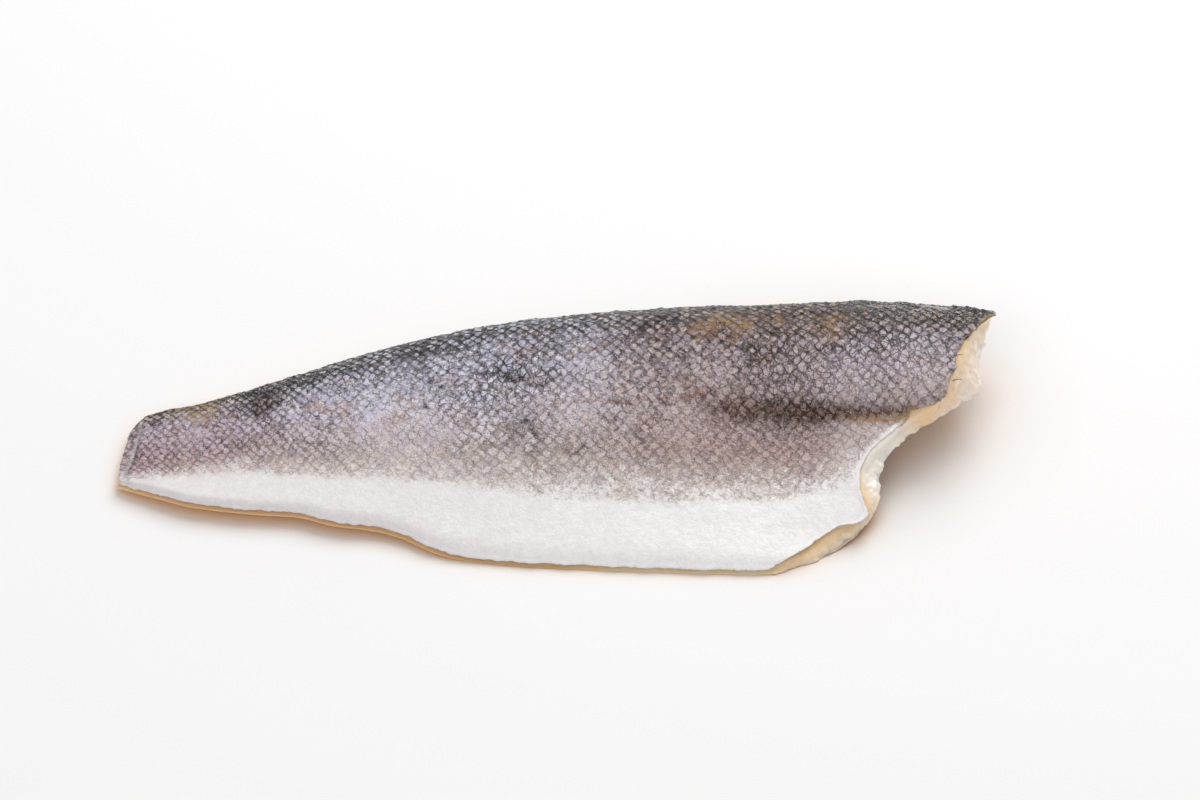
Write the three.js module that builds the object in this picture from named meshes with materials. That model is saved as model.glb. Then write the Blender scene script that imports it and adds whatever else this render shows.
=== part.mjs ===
import * as THREE from 'three';

// A skin-on fish fillet that lies skin side up, in millimetres. X runs from the tail to the head
// end, Y from the belly edge to the back, and Z up from the table. Each sub-part is one closed
// shell: an outer sheet and an inner sheet on the same grid, joined round their edges.

const SKIN_THICKNESS = 0.8;
const SKIN_GAP = 0.25; // clearance between the skin and the flesh that backs it
const COLUMNS = 52; // quads along the length
const ROWS = 24; // quads across the width
const FLESH_RINGS = 3; // quads down the cut edge of the flesh
const SKIN_RINGS = 1;
const COLUMN_GATHER = 0.35; // 0 spaces the grid lines evenly, 1 closes them up fully at the ends
const ROW_GATHER = 0.5;
const NORMAL_STEP = 0.01; // share of the grid over which a surface direction is measured

// Plan outline: [place along X, Y of the edge].
const BELLY_LINE = [
  [-119, -11.5], [-109, -15.8], [-98, -20], [-79, -22.8], [-68, -23.6], [-60, -26.6], [-53, -27.4],
  [-43, -29.2], [-31, -35.3], [-20, -37.4], [-4, -39.2], [57, -41.6], [120, -42],
];
const BACK_LINE = [
  [-119, 14.6], [-109, 17.8], [-98, 20.6], [-86, 24.8], [-71, 31], [-44, 41.3], [-16, 48.4], [18, 52],
  [50, 53.8], [75, 51.8], [100, 45], [122, 38.3],
];

// End outlines: [share of the width from the belly edge to the back, X of the edge].
const TAIL_END = [[0, -118.5], [0.4, -118.7], [0.7, -118.2], [0.88, -116.8], [1, -114.2]];
const HEAD_SKIN_EDGE = [
  [0, 57.5], [0.03, 61.7], [0.055, 65.5], [0.085, 68.8], [0.125, 73.2], [0.145, 77.8], [0.17, 82.8],
  [0.2, 83.3], [0.26, 81.6], [0.31, 81.6], [0.365, 84.4], [0.4, 88.4], [0.45, 91.9], [0.485, 96],
  [0.515, 102.3], [0.545, 104.5], [0.66, 108.7], [0.75, 111.4], [0.835, 114.9], [0.895, 117.9],
  [0.965, 120.7], [1, 121.4],
];
const HEAD_FLESH_EDGE = [
  [0, 58.3], [0.05, 68.5], [0.1, 76.6], [0.17, 83.2], [0.26, 87], [0.35, 87.6], [0.41, 91.2],
  [0.45, 94.6], [0.48, 98], [0.53, 104.8], [0.58, 108.8], [0.63, 114.3], [0.66, 116.3], [0.7, 117.3],
  [0.74, 116.3], [0.81, 117.1], [0.88, 118.2], [0.95, 119.6], [1, 120.6],
];

// Thickness of the whole fillet along the loin, and how far its underside stands off the table.
const LOIN_THICKNESS = [
  [-119, 4.2], [-100, 6.2], [-80, 9], [-45, 13.8], [-16, 17.8], [18, 21.4], [50, 22.6], [80, 19.4],
  [105, 15.4], [122, 12.9],
];
const BELLY_THICKNESS = 3.3;
const BELLY_EDGE_THICKNESS = 1.5; // the skin rounds down over the edge of the flap to this
const BELLY_ROLL = 0.045; // share of the width that the rounding takes
const BACK_THICKNESS = [[-119, 3], [-60, 4.5], [0, 6], [120, 6.5]];
const HEAD_LIFT = [[-119, 0], [52, 0], [70, 3], [88, 8.2], [105, 12.4], [122, 15.1]];
const RIB_HOLLOW = [[-119, 0], [20, 0], [50, 1.8], [85, 3], [120, 1]];
const BELLY_LIFT = [[-119, 1.6], [-98, 3], [-60, 2.8], [-36, 1.4], [-20, 0], [120, 0]];

// Shares of the width, from the belly edge, between which the underside leaves the table.
const HEAD_LIFT_RISE = [0.04, 0.58];
const RIB_HOLLOW_RISE = [0.05, 0.3];
const RIB_HOLLOW_FALL = [0.45, 0.75];
const BELLY_LIFT_FALL = [0, 0.3];

// Cross-section of the upper side, with places as shares of the width.
const CREST = 0.72; // where the loin is highest
const BACK_FULLNESS = 2.3; // the higher, the later the loin drops towards the back
const BACK_STEEPNESS = 0.8;
const DOME_SINE = 0.55; // share of a sine in the dome's profile, the rest an S-curve
const FLAP_END = 0.47; // where the thin belly flap meets the loin
const FLAP_RISE = 0.16; // share of the loin's height that the flap has gained there
const LOIN_FOOT = 0.41; // where the loin starts to rise under the flap's end
const FLAP_ONSET = [[-119, 0], [10, 0], [70, 1], [120, 1]]; // 0 one smooth dome, 1 flap and loin
const CREASE_DEPTH = [[-119, 0], [30, 0], [62, 1], [92, 1.8], [120, 1.4]];
const CREASE_PLACE = 0.49;
const CREASE_WIDTH = 0.045;
const LOIN_OVERHANG = 1.6; // how far the loin bulges out over the crease
const OVERHANG_PLACE = 0.56;
const OVERHANG_WIDTH = 0.05;

const TAIL_ROLL = 7; // length over which the tail end rounds down
const TAIL_END_THICKNESS = 2.6;
const TAIL_INSET = 0.4; // the flesh stands proud of the skin by these round the edge
const BELLY_INSET = 0.4;
const BACK_INSET = 1.6;
const CUT_BULGE = 0.5;
const FLAKE_RELIEF = 0.45; // depth of the flakes in the cut face at the head end
const FLAKES = 9;

const clamp = THREE.MathUtils.clamp;
const lerp = THREE.MathUtils.lerp;
const smoothstep = THREE.MathUtils.smoothstep;

// A smooth curve through stations that never swings past them.
function along(stations, place) {
  const last = stations.length - 1;
  const x = clamp(place, stations[0][0], stations[last][0]);
  let i = 0;
  while (i < last - 1 && x > stations[i + 1][0]) i += 1;
  const slope = (k) => (stations[k + 1][1] - stations[k][1]) / (stations[k + 1][0] - stations[k][0]);
  const tangent = (k) => {
    if (k === 0 || k === last) return 0;
    const before = slope(k - 1);
    const after = slope(k);
    return before * after <= 0 ? 0 : (2 * before * after) / (before + after);
  };
  const span = stations[i + 1][0] - stations[i][0];
  const t = (x - stations[i][0]) / span;
  const startTangent = i === 0 ? slope(0) : tangent(i);
  const endTangent = i === last - 1 ? slope(last - 1) : tangent(i + 1);
  return (2 * t ** 3 - 3 * t ** 2 + 1) * stations[i][1]
    + (t ** 3 - 2 * t ** 2 + t) * span * startTangent
    + (3 * t ** 2 - 2 * t ** 3) * stations[i + 1][1]
    + (t ** 3 - t ** 2) * span * endTangent;
}

// Spreads grid lines so that they lie closer together at both ends, and in the middle of a row.
function gatherAtEnds(t) {
  return t - (COLUMN_GATHER * Math.sin(2 * Math.PI * t)) / (2 * Math.PI);
}

function gatherAtEndsAndMiddle(t) {
  return t - (ROW_GATHER * Math.sin(4 * Math.PI * t)) / (4 * Math.PI);
}

function bump(offset, width) {
  return Math.exp(-((offset / width) ** 2));
}

// Height of the underside above the table.
function underside(x, v) {
  const headEnd = along(HEAD_LIFT, x) * smoothstep(v, ...HEAD_LIFT_RISE);
  const ribs = smoothstep(v, ...RIB_HOLLOW_RISE) - smoothstep(v, ...RIB_HOLLOW_FALL);
  const belly = along(BELLY_LIFT, x) * (1 - smoothstep(v, ...BELLY_LIFT_FALL));
  return headEnd + along(RIB_HOLLOW, x) * ribs + belly;
}

// Thickness from the underside to the outside of the skin.
function thickness(x, v) {
  const loin = along(LOIN_THICKNESS, x);
  if (v > CREST) {
    const s = (v - CREST) / (1 - CREST);
    const back = along(BACK_THICKNESS, x);
    return back + (loin - back) * (1 - s ** BACK_FULLNESS) ** BACK_STEEPNESS;
  }
  const s = v / CREST;
  const dome = lerp(smoothstep(s, 0, 1), Math.sin((Math.PI / 2) * s), DOME_SINE);
  const flap = lerp(smoothstep(v, LOIN_FOOT, CREST), Math.min(1, v / FLAP_END), FLAP_RISE);
  const share = lerp(dome, flap, along(FLAP_ONSET, x));
  const crease = along(CREASE_DEPTH, x) * bump(v - CREASE_PLACE, CREASE_WIDTH);
  const edge = (BELLY_THICKNESS - BELLY_EDGE_THICKNESS) * (1 - clamp(v / BELLY_ROLL, 0, 1)) ** 2;
  return BELLY_THICKNESS + (loin - BELLY_THICKNESS) * share - crease - edge;
}

// A point on the outside of the skin.
function skinPoint(u, v) {
  const tail = along(TAIL_END, v);
  const x = lerp(tail, along(HEAD_SKIN_EDGE, v), u);
  const belly = along(BELLY_LINE, x) + BELLY_INSET;
  const back = along(BACK_LINE, x) - BACK_INSET;
  const overhang = LOIN_OVERHANG * along(FLAP_ONSET, x) * bump(v - OVERHANG_PLACE, OVERHANG_WIDTH);
  const fromTail = clamp((x - tail) / TAIL_ROLL, 0, 1);
  const roll = Math.sqrt(1 - (1 - fromTail) ** 2);
  const thick = lerp(Math.min(TAIL_END_THICKNESS, thickness(x, v)), thickness(x, v), roll);
  return new THREE.Vector3(x, lerp(belly, back, v) - overhang, underside(x, v) + thick);
}

// A point under the outside of the skin, square to it.
function belowSkin(u, v, depth) {
  const before = (t) => Math.max(0, t - NORMAL_STEP);
  const after = (t) => Math.min(1, t + NORMAL_STEP);
  const alongX = skinPoint(after(u), v).sub(skinPoint(before(u), v));
  const alongY = skinPoint(u, after(v)).sub(skinPoint(u, before(v)));
  const outward = alongX.cross(alongY).normalize();
  return skinPoint(u, v).addScaledVector(outward, -depth);
}

// A point on the underside of the flesh.
function undersidePoint(u, v) {
  const x = lerp(along(TAIL_END, v) - TAIL_INSET, along(HEAD_FLESH_EDGE, v), u);
  const y = lerp(along(BELLY_LINE, x), along(BACK_LINE, x), v);
  return new THREE.Vector3(x, y, underside(x, v));
}

function grid(place) {
  const points = [];
  for (let i = 0; i <= COLUMNS; i += 1) {
    const u = gatherAtEnds(i / COLUMNS);
    for (let j = 0; j <= ROWS; j += 1) points.push(place(u, gatherAtEndsAndMiddle(j / ROWS)));
  }
  return points;
}

// Grid places round the edge of a sheet, anticlockwise from above.
function edgeLoop() {
  const loop = [];
  for (let i = 0; i < COLUMNS; i += 1) loop.push([i, 0]);
  for (let j = 0; j < ROWS; j += 1) loop.push([COLUMNS, j]);
  for (let i = COLUMNS; i > 0; i -= 1) loop.push([i, ROWS]);
  for (let j = ROWS; j > 0; j -= 1) loop.push([0, j]);
  return loop;
}

// Joins an upper and a lower sheet into one closed shell, with rings of quads down the edge.
function closedShell(upper, lower, rings, edgePoint) {
  const at = (i, j) => i * (ROWS + 1) + j;
  const points = [...upper, ...lower];
  const faces = [];
  const quad = (a, b, c, d) => faces.push(a, b, c, a, c, d);
  for (let i = 0; i < COLUMNS; i += 1) {
    for (let j = 0; j < ROWS; j += 1) {
      const corners = [at(i, j), at(i + 1, j), at(i + 1, j + 1), at(i, j + 1)];
      quad(...corners);
      quad(...corners.reverse().map((corner) => corner + upper.length));
    }
  }
  const loop = edgeLoop();
  let ringAbove = loop.map(([i, j]) => at(i, j));
  for (let ring = 1; ring <= rings; ring += 1) {
    const ringBelow = loop.map(([i, j]) => {
      if (ring === rings) return upper.length + at(i, j);
      points.push(edgePoint(upper[at(i, j)], lower[at(i, j)], ring / rings, i, j));
      return points.length - 1;
    });
    loop.forEach((_, k) => {
      const next = (k + 1) % loop.length;
      quad(ringAbove[k], ringBelow[k], ringBelow[next], ringAbove[next]);
    });
    ringAbove = ringBelow;
  }
  const geometry = new THREE.BufferGeometry().setFromPoints(points);
  geometry.setIndex(faces);
  geometry.computeVertexNormals();
  return geometry;
}

// The cut edge of the flesh swells a little between the skin and the underside, and the flakes
// stand out in steps where the head end was cut.
function cutEdge(top, bottom, t, i, j) {
  const point = top.clone().lerp(bottom, t);
  const outward = new THREE.Vector3(bottom.x - top.x, bottom.y - top.y, 0);
  if (outward.length() > 0) outward.normalize();
  const flakes = i === COLUMNS ? FLAKE_RELIEF * Math.sin(2 * Math.PI * (FLAKES * (j / ROWS) + t)) : 0;
  return point.addScaledVector(outward, CUT_BULGE * Math.sin(Math.PI * t) + flakes);
}

function makeFlesh() {
  const upper = grid((u, v) => belowSkin(u, v, SKIN_THICKNESS + SKIN_GAP));
  return closedShell(upper, grid(undersidePoint), FLESH_RINGS, cutEdge);
}

function makeSkin() {
  const inner = grid((u, v) => belowSkin(u, v, SKIN_THICKNESS));
  return closedShell(grid(skinPoint), inner, SKIN_RINGS);
}

const flesh = new THREE.Mesh(
  makeFlesh(),
  new THREE.MeshStandardMaterial({ color: 0xe6d3bd, roughness: 0.42, metalness: 0 }),
);
flesh.name = 'flesh';

const skin = new THREE.Mesh(
  makeSkin(),
  new THREE.MeshStandardMaterial({ color: 0x8f8791, roughness: 0.36, metalness: 0 }),
);
skin.name = 'skin';

// The whole fillet is centred on the origin, standing on the table.
const bounds = new THREE.Box3().setFromObject(flesh).union(new THREE.Box3().setFromObject(skin));
const centre = bounds.getCenter(new THREE.Vector3());
const fillet = new THREE.Group();
fillet.add(flesh, skin);
fillet.position.set(-centre.x, -centre.y, -bounds.min.z);

export default fillet;
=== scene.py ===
from math import cos, pi, radians, sin

import bpy
import numpy as np
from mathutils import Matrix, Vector, noise
from mathutils.bvhtree import BVHTree
from mathutils.kdtree import KDTree


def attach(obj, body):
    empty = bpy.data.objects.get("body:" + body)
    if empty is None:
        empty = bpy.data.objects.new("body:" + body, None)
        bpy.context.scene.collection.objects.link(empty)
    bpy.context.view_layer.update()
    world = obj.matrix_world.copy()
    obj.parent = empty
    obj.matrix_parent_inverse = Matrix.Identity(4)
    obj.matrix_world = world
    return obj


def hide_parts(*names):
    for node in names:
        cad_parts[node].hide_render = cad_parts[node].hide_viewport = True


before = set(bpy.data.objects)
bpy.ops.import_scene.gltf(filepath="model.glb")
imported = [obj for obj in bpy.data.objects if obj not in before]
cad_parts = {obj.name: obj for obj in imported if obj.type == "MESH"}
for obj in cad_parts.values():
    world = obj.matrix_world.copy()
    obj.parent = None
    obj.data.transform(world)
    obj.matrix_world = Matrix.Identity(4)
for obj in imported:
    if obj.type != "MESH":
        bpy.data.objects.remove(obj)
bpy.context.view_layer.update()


# Camera. It looks down at 45 degrees on the skin side, square to the length of the fillet, from
# far enough away that the head end is hardly larger than the tail.
CAMERA_DISTANCE = 0.84
CAMERA_ELEVATION = radians(45)
CAMERA_AIM = Vector((0.01091, 0.01791, 0.0))
FOCAL_LENGTH = 90.0  # millimetres, on a sensor 36 mm wide

toward_camera = Vector((0, -cos(CAMERA_ELEVATION), sin(CAMERA_ELEVATION)))
bpy.ops.object.select_all(action="DESELECT")
bpy.ops.object.camera_add(
    location=CAMERA_AIM + CAMERA_DISTANCE * toward_camera,
    rotation=(pi / 2 - CAMERA_ELEVATION, 0, 0),
)
bpy.context.scene.camera = bpy.context.object
bpy.context.object.data.lens = FOCAL_LENGTH


# Floor and light. A plain white floor under one large soft light overhead, a little behind the
# fillet, and a bright surround, so that the only strong shadows are those right under the edges.
FLOOR_SIZE = 8.0
FLOOR_COLOUR = "F4F3F3"
FLOOR_SHADE_COLOUR = "EDBE8A"  # painted warm shade: the light from the flesh, painted on the floor close under its edges
FLOOR_SHADE_REACH = 0.007
WIDE_SHADE_COLOUR = "D6BEA8"  # the same painted warm shade further out, under the raised loin
WIDE_SHADE_REACH = 0.035
LOIN_FROM, LOIN_WHOLE = 0.03, 0.08  # the places in X between which that wider shade sets in
SURROUND_STRENGTH = 0.53
SOFTBOX_SIZE = 0.9
SOFTBOX_PLACE = (0.35, 0.75, 1.0)
SOFTBOX_POWER = 11.3
FRONT_SIZE = 0.8
FRONT_PLACE = (-0.5, -1.0, 0.9)
FRONT_POWER = 3.4


def linear(colour):
    """Turns an sRGB hex colour such as "F4F3F2" into linear red, green, blue and alpha."""
    parts = [int(colour[i:i + 2], 16) / 255 for i in (0, 2, 4)]
    return [p / 12.92 if p <= 0.04045 else ((p + 0.055) / 1.055) ** 2.4 for p in parts] + [1.0]


def add(tree, kind, links=(), stops=(), **settings):
    """Adds a node. links gives its sockets a value or another node's socket, stops fill a ramp."""
    node = tree.nodes.new(kind)
    for name, value in settings.items():
        setattr(node, name, value)
    for socket, value in dict(links).items():
        if isinstance(value, bpy.types.NodeSocket):
            tree.links.new(value, node.inputs[socket])
        else:
            node.inputs[socket].default_value = value
    for number, (place, colour) in enumerate(stops):
        if number > 1:
            node.color_ramp.elements.new(place)
        node.color_ramp.elements[number].position = place
        node.color_ramp.elements[number].color = linear(colour)
    return node


def calculate(tree, operation, *values, **settings):
    """Adds a maths node on one to three numbers or sockets, and gives its result."""
    return add(tree, "ShaderNodeMath", dict(enumerate(values)), operation=operation, **settings).outputs[0]


def rescale(tree, value, start=0, end=1, low=0, high=1, **settings):
    """Takes a value from between start and end to between low and high, and holds it there."""
    links = {"Value": value, "From Min": start, "From Max": end, "To Min": low, "To Max": high}
    return add(tree, "ShaderNodeMapRange", links, **settings).outputs[0]


def mix(tree, share, first, second, blend="MIX"):
    """Lays a second colour over a first, as far as the share says."""
    links = {0: share, 6: first, 7: second}
    return add(tree, "ShaderNodeMix", links, data_type="RGBA", blend_type=blend).outputs[2]


def new_material(name):
    """A material with an empty node tree."""
    material = bpy.data.materials.new(name)
    material.use_nodes = True
    material.node_tree.nodes.clear()
    return material


bpy.ops.mesh.primitive_plane_add(size=FLOOR_SIZE)
floor = bpy.context.object
floor.name = "floor"

# Matt white board: an even, dull white that shows soft shadows, with warm shade painted on where the flesh
# is close.
matt_white = new_material("matt white")
tree = matt_white.node_tree
open_sky = add(tree, "ShaderNodeAmbientOcclusion", {"Distance": FLOOR_SHADE_REACH}).outputs["AO"]
floor_painted_shade = mix(tree, open_sky, linear(FLOOR_SHADE_COLOUR), linear(FLOOR_COLOUR))
wide_sky = add(tree, "ShaderNodeAmbientOcclusion", {"Distance": WIDE_SHADE_REACH}).outputs["AO"]
wide_painted_shade = mix(tree, wide_sky, linear(WIDE_SHADE_COLOUR), linear("FFFFFF"))
floor_place = add(tree, "ShaderNodeTexCoord").outputs["Object"]
floor_x = add(tree, "ShaderNodeSeparateXYZ", {0: floor_place}).outputs["X"]
near_loin = rescale(tree, floor_x, LOIN_FROM, LOIN_WHOLE)
floor_painted_shade = mix(tree, near_loin, floor_painted_shade, wide_painted_shade, "MULTIPLY")
surface = add(tree, "ShaderNodeBsdfDiffuse", {"Color": floor_painted_shade})
add(tree, "ShaderNodeOutputMaterial", {"Surface": surface.outputs[0]})
floor.data.materials.append(matt_white)

for name, size, place, power in (
    ("softbox", SOFTBOX_SIZE, SOFTBOX_PLACE, SOFTBOX_POWER),
    ("front fill", FRONT_SIZE, FRONT_PLACE, FRONT_POWER),
):
    bpy.ops.object.light_add(type="AREA", location=place)
    lamp = bpy.context.object
    lamp.name = name
    lamp.data.size = size
    lamp.data.energy = power
    lamp.rotation_euler = (-Vector(place)).to_track_quat("-Z", "Y").to_euler()

surround = bpy.data.worlds.new("white surround")
surround.use_nodes = True
surround.node_tree.nodes.clear()
background = add(surround.node_tree, "ShaderNodeBackground",
                 {"Color": linear("FFFFFF"), "Strength": SURROUND_STRENGTH})
add(surround.node_tree, "ShaderNodeOutputWorld", {"Surface": background.outputs[0]})
bpy.context.scene.world = surround
bpy.context.scene.view_settings.view_transform = "Standard"


# Skin. The grey skin of a perch: small scales in staggered rows, dark along the back and white
# on the belly, 0.8 mm thick, wet, and drawn tight over the flesh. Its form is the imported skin's,
# made finer, with every scale standing out of the outer sheet as it laps over the next one.
MM = 0.001
MERGE = 1e-6
SHARP = radians(50)
SCALE_SHARP = radians(70)
SKIN_CUTS = 3  # cuts across each face of the outer sheet, for scales of a few faces each
SCALE_PITCH = [(-118, 2.4), (-60, 2.9), (-20, 3.2), (120, 3.2)]  # along a row, at a place in X
ROW_SPACING = 0.59  # spacing of the rows, as a share of the pitch
MID_LINE = [(-118, -4.5), (0, -0.5), (115, 5)]  # the rows draw together along this line
SCALE_REACH = 0.9  # from a scale's middle to its free edge, in pitches
SCALE_SPREAD = 1.15  # from its middle to its side, in rows, so that it laps over the next row
ROW_SHIFT = 0.3  # how far a row may slip along the next, in pitches
ROW_DRIFT = [(0.33, 1.9), (0.5, 1.6), (0.6, 1.1), (0.72, 0.5), (1.0, 0.3)]  # wander of rows, by zone
DRIFT_ALONG = [(-95, 0.85), (-75, 1), (45, 1), (65, 0.7)]  # its share, at a place in X
SCALE_RELIEF = 0.4  # height of the scales on the side, in millimetres
RELIEF_ACROSS = [(0.0, 0.03), (0.3, 0.06), (0.42, 0.6), (0.6, 1.0), (0.85, 1.2), (1.0, 1.7)]  # by zone
WORN_RELIEF = 0.75  # share of the relief that is lost where the skin is worn
INNER_SINK = 0.27  # the inner sheet lies this much deeper, so that no gap shows at the cut

# Lines along the skin in millimetres, seen from above: where the white of the belly ends, where the
# dark band of the back starts, and the edge of the back.
WHITE_EDGE = [
    (-119, -16.8), (-97, -15.4), (-88, -14.5), (-62, -17.6), (-45, -18.4), (-26, -22.2), (-2, -26.7),
    (24, -28.2), (55, -26.3), (73, -23.8), (79, -21), (83, -18.5), (87, -15), (91, -12),
]
DARK_EDGE = [
    (-119, 5.5), (-90, 10.5), (-72, 12.6), (-58, 16.3), (-44, 19.1), (-30, 22.1), (-8, 24), (38, 24.8),
    (61, 26), (83, 22.9), (104, 19.2), (121, 17),
]
BACK_EDGE = [
    (-119, 8.5), (-98, 14.5), (-71, 25), (-44, 35.2), (-16, 42.3), (18, 46), (50, 47.7), (75, 45.8),
    (100, 39), (121, 32.5),
]
WHITE_DEPTH = 12.0  # below the edge of the white, the belly is at its whitest from here on

# Folds and dents pressed into the skin: depth, half width, places.
FOLDS = [
    (0.5, 0.7, [(-16.5, 11.2), (-14.5, 8.9), (-11.8, 7.2), (-10.2, 9.1)]),
    (0.4, 0.6, [(-8.2, 5.8), (-5.2, 4.6), (-2.2, 7.0), (0, 8.8)]),
    (0.35, 0.6, [(-11.8, -6.1), (-8.6, -5.1), (-7.2, -8.8), (-5.3, -11.2)]),
    (0.35, 0.6, [(1.7, -13.9), (3.4, -16.2), (5.5, -14.6), (6.9, -13)]),
    (0.45, 0.8, [(-84.5, 14), (-83.5, 3.3)]),
    (0.4, 0.7, [(-81.5, 14), (-80.3, 5)]),
    (0.35, 0.7, [(-78.2, 13), (-77.6, 6)]),
    (0.5, 0.8, [(-115.8, 3), (-116.2, -8.3), (-118.6, -16.3)]),
]
WAVES = [(0.32, 9.0), (0.12, 3.6)]  # soft unevenness: height, size
WAVES_FADE = 2  # waves and folds die out over this distance from the rim
SCALES_FADE = 1.2  # and so does the relief of the scales
CREASE_LINE = [(34, -0.2), (57, 0.1), (66, -0.7), (77, -2.4), (87, -4.0), (97, -4.9)]
CREASE_WIDTH = [(34, 1.5), (48, 3.6), (68, 3.0), (80, 1.9), (88, 1.3), (97, 1.0)]
CREASE_STRENGTH = [(30, 0), (46, 0.85), (85, 1), (97, 0.9)]
FAT_LINE = [(77, -4.2), (83, -4.9), (87, -5.6), (91, -6.1), (98, -5.6)]  # just below the crease
FAT_STRENGTH = [(76, 0.35), (84, 0.9), (96, 1.2)]
FAT_WIDTH = 1.0
LATERAL_LINE = [(-2, -0.9), (16, -0.7), (36, 1.9)]
LATERAL_WIDTH = 0.7

# Marks on the skin. Patches are a place and a size, and the dark and pale ones have a strength too.
# Pale lines are a half width, a strength and places.
GOLD_PATCHES = [
    (43, 27.6, 4), (49.8, 25.1, 4.5), (60, 27, 3), (74.5, 23, 5), (38.7, 22.9, 3.5), (-100, 8.5, 7),
]
WRINKLED = [
    (-16, 10, 6), (-8, 6, 6), (-24, 1, 6), (-9, -10, 6), (4, -14, 5), (-83, 8, 6), (62, 10, 11),
    (90, 8, 11), (66, -3, 7),
]
BRIGHT = [
    (4, -6, 8), (8, 15, 8), (-62, 10, 5), (-50, -4, 9), (97, 1, 7), (76, -12, 8), (84, -9, 5),
    (-102, 0, 9), (-38, -8, 9), (-18, 20, 6), (78, 5, 6), (34, -6, 6),
]
DARK_PATCHES = [(-83.5, 11.0, 4.5, 0.9), (-82.0, 4.5, 3.5, 0.6)]
PALE_PATCH = (81, -10.5, 8.5, 0.24)
PALE_LINES = [
    (0.6, 0.6, [(-115.6, 5), (-116.3, -3.7), (-117.3, -9), (-118.9, -16)]),
    (0.8, 0.7, [(100.5, 31.5), (107, 30.0)]),
]
WORN_PATCH = (-40, 12, 8.5, 9.5)  # centre and half sizes
SPOTS = [(-35.8, 9.9), (-32.5, 7.5), (-36.7, 1.5)]
SPOT_SIZE = 0.65
SPOT_STRENGTH = 1.3

# The cut edges of the skin: where the one at the head end starts, how the rim is made uneven (size,
# amount, how far in), how much of that there is at a place's x + y, and the place, radius and push
# of its corners and tatters.
HEAD_CUT_FROM = (56.5, -46.6)
HEAD_CUT_TO_BACK = 1.6  # how far short of the edge of the back it ends
BACK_CUT = (-110, -22)  # where in X the cut along the back shows as a pale rim
BACK_CUT_DEPTH = 6
RAGGED_RIM = [(6.0, 0.8, 4.0), (2.4, 0.6, 2.0), (0.9, 0.5, 1.0)]
RAGGED_ALONG = [(0, 0.5), (40, 0.7), (90, 1), (105, 2)]
NUDGES = [
    (79.5, -30.5, 4.2, (0.9, -2.4, -0.7)), (97.8, -4.8, 3.2, (-2.6, 0.8, 0.0)),
    (119.4, 25.5, 0.9, (1.0, 0.6, 0.9)), (117.2, 27.0, 0.8, (0, 0.7, 0.8)),
    (114.5, 28.6, 0.7, (0, 0.4, 0.7)), (110.5, 29.6, 0.6, (0, 0.4, 0.6)),
]
PALE_DEPTH = 1.3  # how far the pale skin reaches in from the cut, below the crease
PALE_ACROSS = [(-30, 0), (-26, 1), (-8, 1), (-6, 0)]  # how pale, at a place in Y


def copy_of(node, name):
    """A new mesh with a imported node's form, its loose triangles merged and joined into quads."""
    bpy.ops.object.select_all(action="DESELECT")
    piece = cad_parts[node].copy()
    piece.data = piece.data.copy()
    piece.name = piece.data.name = name
    piece.parent = None
    for key in list(piece.keys()):
        del piece[key]
    piece.data.materials.clear()
    bpy.context.collection.objects.link(piece)
    bpy.context.view_layer.objects.active = piece
    piece.select_set(True)
    bpy.ops.object.mode_set(mode="EDIT")
    bpy.ops.mesh.select_all(action="SELECT")
    bpy.ops.mesh.remove_doubles(threshold=MERGE)
    bpy.ops.mesh.tris_convert_to_quads(face_threshold=pi, shape_threshold=pi, topology_influence=2.0)
    bpy.ops.mesh.select_mode(type="EDGE")
    bpy.ops.mesh.select_all(action="DESELECT")
    bpy.ops.mesh.edges_select_sharp(sharpness=SHARP)
    bpy.ops.transform.edge_crease(value=1.0)
    bpy.ops.mesh.select_mode(type="FACE")
    bpy.ops.mesh.select_all(action="DESELECT")
    bpy.ops.object.mode_set(mode="OBJECT")
    return piece


def select_faces(piece, chosen):
    """Selects the faces that an array of true and false marks, and shows them in edit mode."""
    bpy.ops.object.mode_set(mode="EDIT")
    bpy.ops.mesh.select_mode(type="FACE")
    bpy.ops.mesh.select_all(action="DESELECT")
    bpy.ops.object.mode_set(mode="OBJECT")
    piece.data.polygons.foreach_set("select", chosen)
    bpy.ops.object.mode_set(mode="EDIT")


def read(items, key, width=3):
    """The values of one property of a mesh's vertices or faces, one row each."""
    values = np.empty(len(items) * width)
    items.foreach_get(key, values)
    return values.reshape(-1, width) if width > 1 else values


def store(piece, name, values):
    """Keeps a number, or a row of three, for each vertex of a piece."""
    values = np.asarray(values, np.float32)
    kind, key = ("FLOAT", "value") if values.ndim == 1 else ("FLOAT_VECTOR", "vector")
    piece.data.attributes.new(name, kind, "POINT").data.foreach_set(key, values.ravel())


def along(stations, place):
    """Reads a value off a list of (place, value) stations."""
    places, values = zip(*stations)
    return np.interp(place, places, values)


def line_distance(points, line):
    """How far each point is, seen from above, from a line through a few places."""
    nearest = np.full(len(points), np.inf)
    for start, end in zip(line[:-1], line[1:]):
        run = np.subtract(end, start)
        share = np.clip((points[:, :2] - start) @ run / (run @ run), 0, 1)
        gap = points[:, :2] - start - share[:, None] * run
        nearest = np.minimum(nearest, np.hypot(gap[:, 0], gap[:, 1]))
    return nearest


def patch(x, y, place_x, place_y, size):
    """A soft round patch: 1 in its middle, and falling off over its size."""
    return np.exp(-((x - place_x) ** 2 + (y - place_y) ** 2) / size ** 2)


def band(points, line, half_width):
    """A soft band along a line: 1 on the line, and falling off over the half width."""
    return np.exp(-(line_distance(points, line) / half_width) ** 2)


def uneven(points, size, seed=0.0):
    """Smooth random numbers between about -1 and 1 that change over the given size."""
    return np.array([noise.noise(Vector(point) / size + Vector((seed, 0, 0))) for point in points])


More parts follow.
